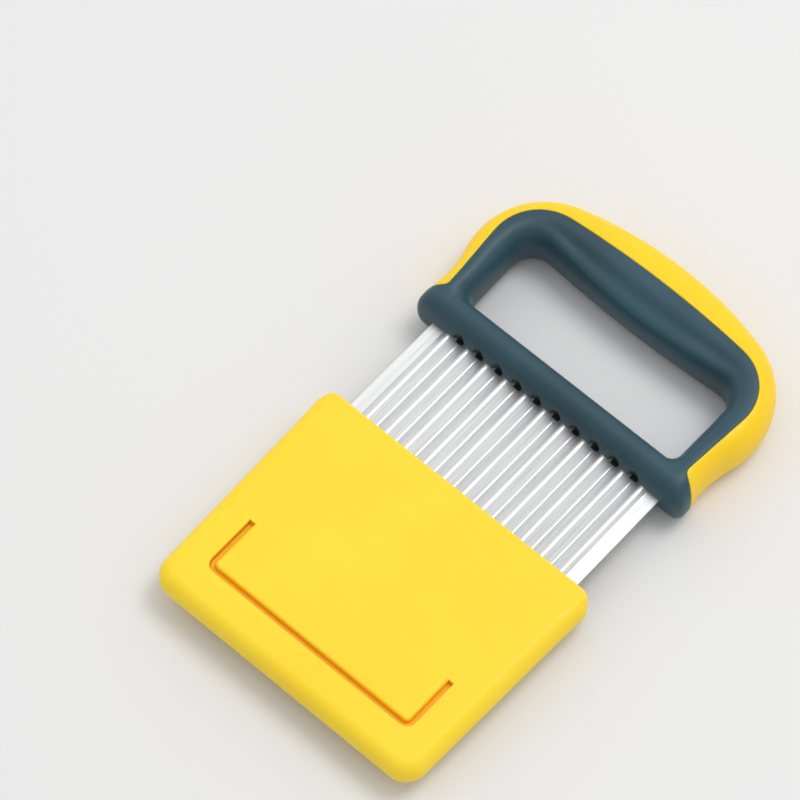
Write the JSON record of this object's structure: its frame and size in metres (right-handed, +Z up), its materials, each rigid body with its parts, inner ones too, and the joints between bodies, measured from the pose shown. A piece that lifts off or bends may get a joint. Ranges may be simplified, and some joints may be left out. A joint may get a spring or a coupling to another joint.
{
  "type": "crinkle cutter",
  "caption": "Hand cutter for wavy slices: a wide corrugated steel blade, a loop handle with a soft grip, and a sheath that slides over the blade.",
  "frame": {"origin": "middle of the surface that the cutter lies on, under the middle of the cutter and its guard as they stand", "axes": "+X across the blade, +Y from the cutting edge towards the handle, +Z up from the surface that the cutter lies on"},
  "size_m": [0.141, 0.2356, 0.025],
  "materials": {
    "blade_steel": "fine brushed stainless steel",
    "yellow_core": "satin moulded plastic",
    "teal_grip": "soft-touch overmoulding",
    "yellow_guard": "satin moulded plastic"
  },
  "bodies": {
    "cutter": {"blade": "blade_steel", "handle_core": "yellow_core", "soft_grip": "teal_grip"},
    "guard": {"blade_guard": "yellow_guard"}
  },
  "joints": [
    {"name": "guard_slide", "type": "slide", "parent": "cutter", "child": "guard", "axis": [0, -1, 0], "range_m": [-0.0472, 0.0445]}
  ]
}
